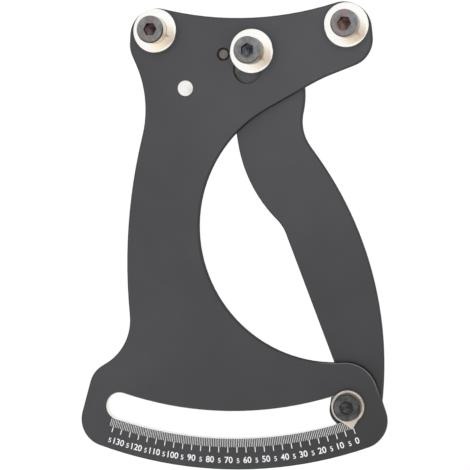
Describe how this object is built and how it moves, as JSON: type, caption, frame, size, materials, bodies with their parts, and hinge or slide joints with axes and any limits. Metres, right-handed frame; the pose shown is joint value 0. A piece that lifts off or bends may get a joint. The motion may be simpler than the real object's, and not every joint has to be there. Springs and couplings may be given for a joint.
{
  "type": "spoke tension meter",
  "caption": "Flat plates crossing on a sprung pivot: squeezing the lever lets a spoke in between flanged spools, and a pointer on an arc scale reads its tension.",
  "frame": {"origin": "under the middle of the bounding box, on the face that the meter lies on", "axes": "+Z away from the back, towards whoever reads the scale; +Y from the scale to the spools; +X to the right as the scale is read"},
  "size_m": [0.1006, 0.15, 0.0301],
  "materials": {
    "plate": "satin dark grey anodised",
    "lever": "satin dark grey anodised",
    "spool": "bright turned, nickel plated",
    "screw": "oiled black oxide",
    "turned_steel": "turned",
    "bush": "turned bronze",
    "slip_washer": "natural nylon",
    "spring": "drawn spring wire",
    "pointer": "satin stainless"
  },
  "bodies": {
    "main_body": {"main_plate": "plate", "left_spool": "spool", "right_spool": "spool", "left_spool_screw": "screw", "right_spool_screw": "screw", "spring_post": "turned_steel", "pivot_screw": "screw", "thrust_washer": "slip_washer", "pivot_washer": "turned_steel", "torsion_spring": "spring"},
    "lever": {"lever_plate": "lever", "moving_spool": "spool", "moving_spool_spacer": "turned_steel", "moving_spool_screw": "screw", "pivot_bush": "bush", "spring_pin": "turned_steel", "pointer": "pointer", "pointer_screw": "screw", "pointer_guide": "turned_steel", "guide_washer": "slip_washer"}
  },
  "joints": [
    {"name": "lever_swing", "type": "hinge", "parent": "main_body", "child": "lever", "pos_m": [-0.00267, 0.05877, 0.01526], "axis": [0, 0, -1], "range_deg": [0, 36.7], "stiffness_Nm_per_rad": 0.8, "springref_deg": -20.05, "deforming": ["torsion_spring"]}
  ]
}
